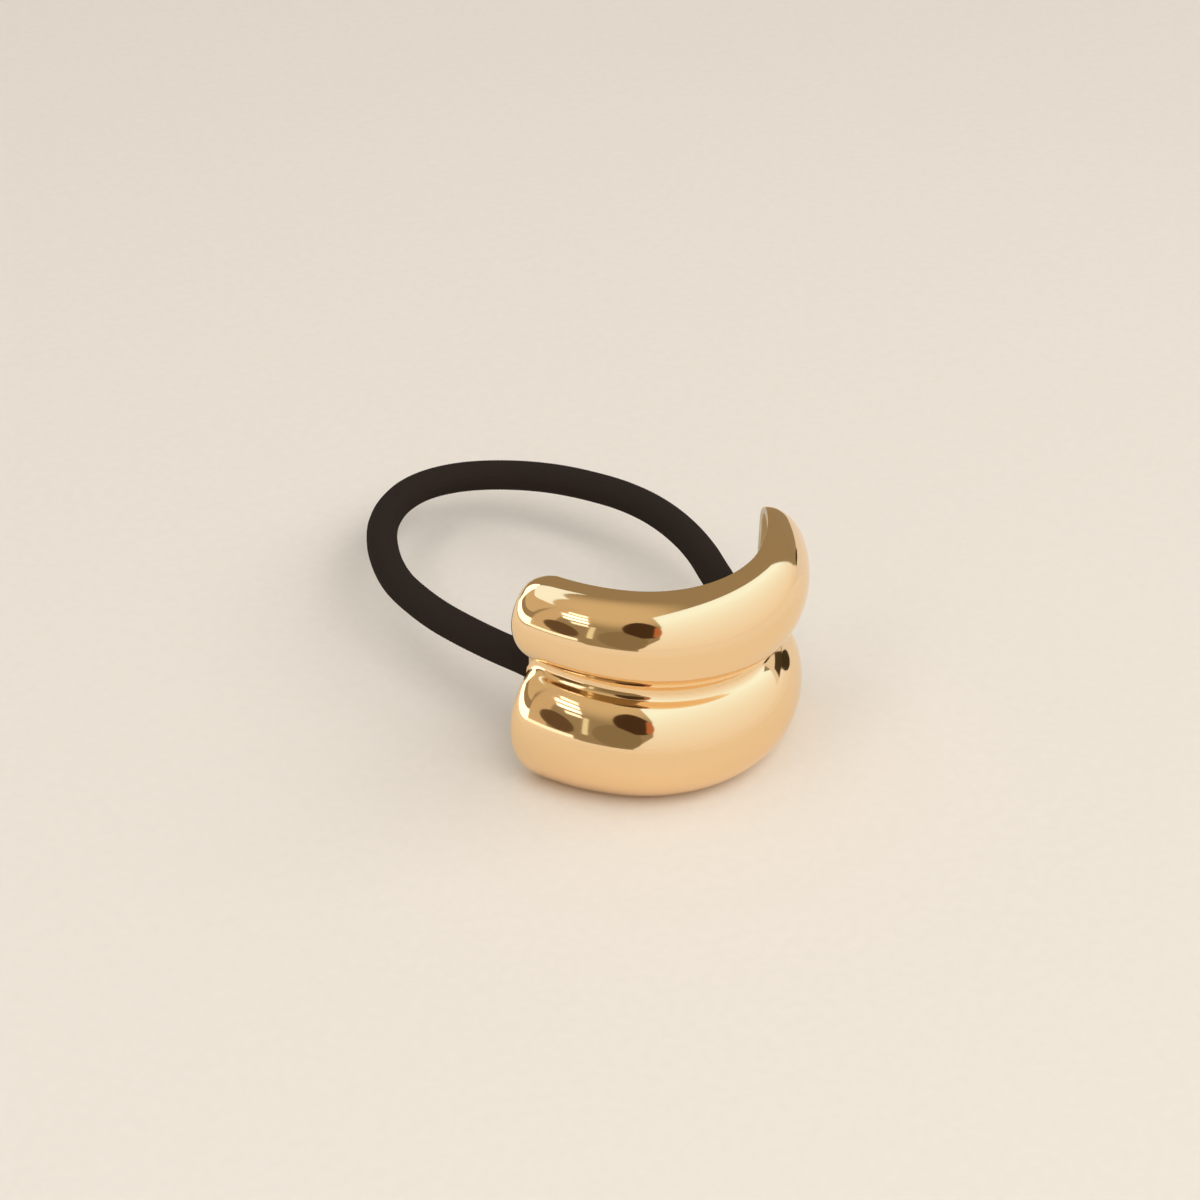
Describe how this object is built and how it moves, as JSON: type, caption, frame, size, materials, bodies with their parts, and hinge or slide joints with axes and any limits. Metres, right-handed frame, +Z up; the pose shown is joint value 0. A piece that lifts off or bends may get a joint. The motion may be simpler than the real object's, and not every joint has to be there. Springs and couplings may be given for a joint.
{
  "type": "metal cuff hair tie",
  "caption": "C-shaped puffed metal cuff with a slanting groove and a hollow back, closed by a loop of round elastic that holds it on a ponytail.",
  "frame": {"origin": "on the surface that the cuff stands on, under the middle of the cuff's box, sockets included", "axes": "+Z up along the cuff's height, +Y from the cuff's front towards the elastic, +X to the right as the cuff's front is looked at"},
  "size_m": [0.036, 0.0632, 0.0252],
  "materials": {
    "gold_plate": "pale gold plating, mirror polished",
    "black_knit": "matt black knitted cover over an elastic core"
  },
  "bodies": {
    "root": {"cuff": "gold_plate", "elastic": "black_knit"}
  },
  "joints": []
}
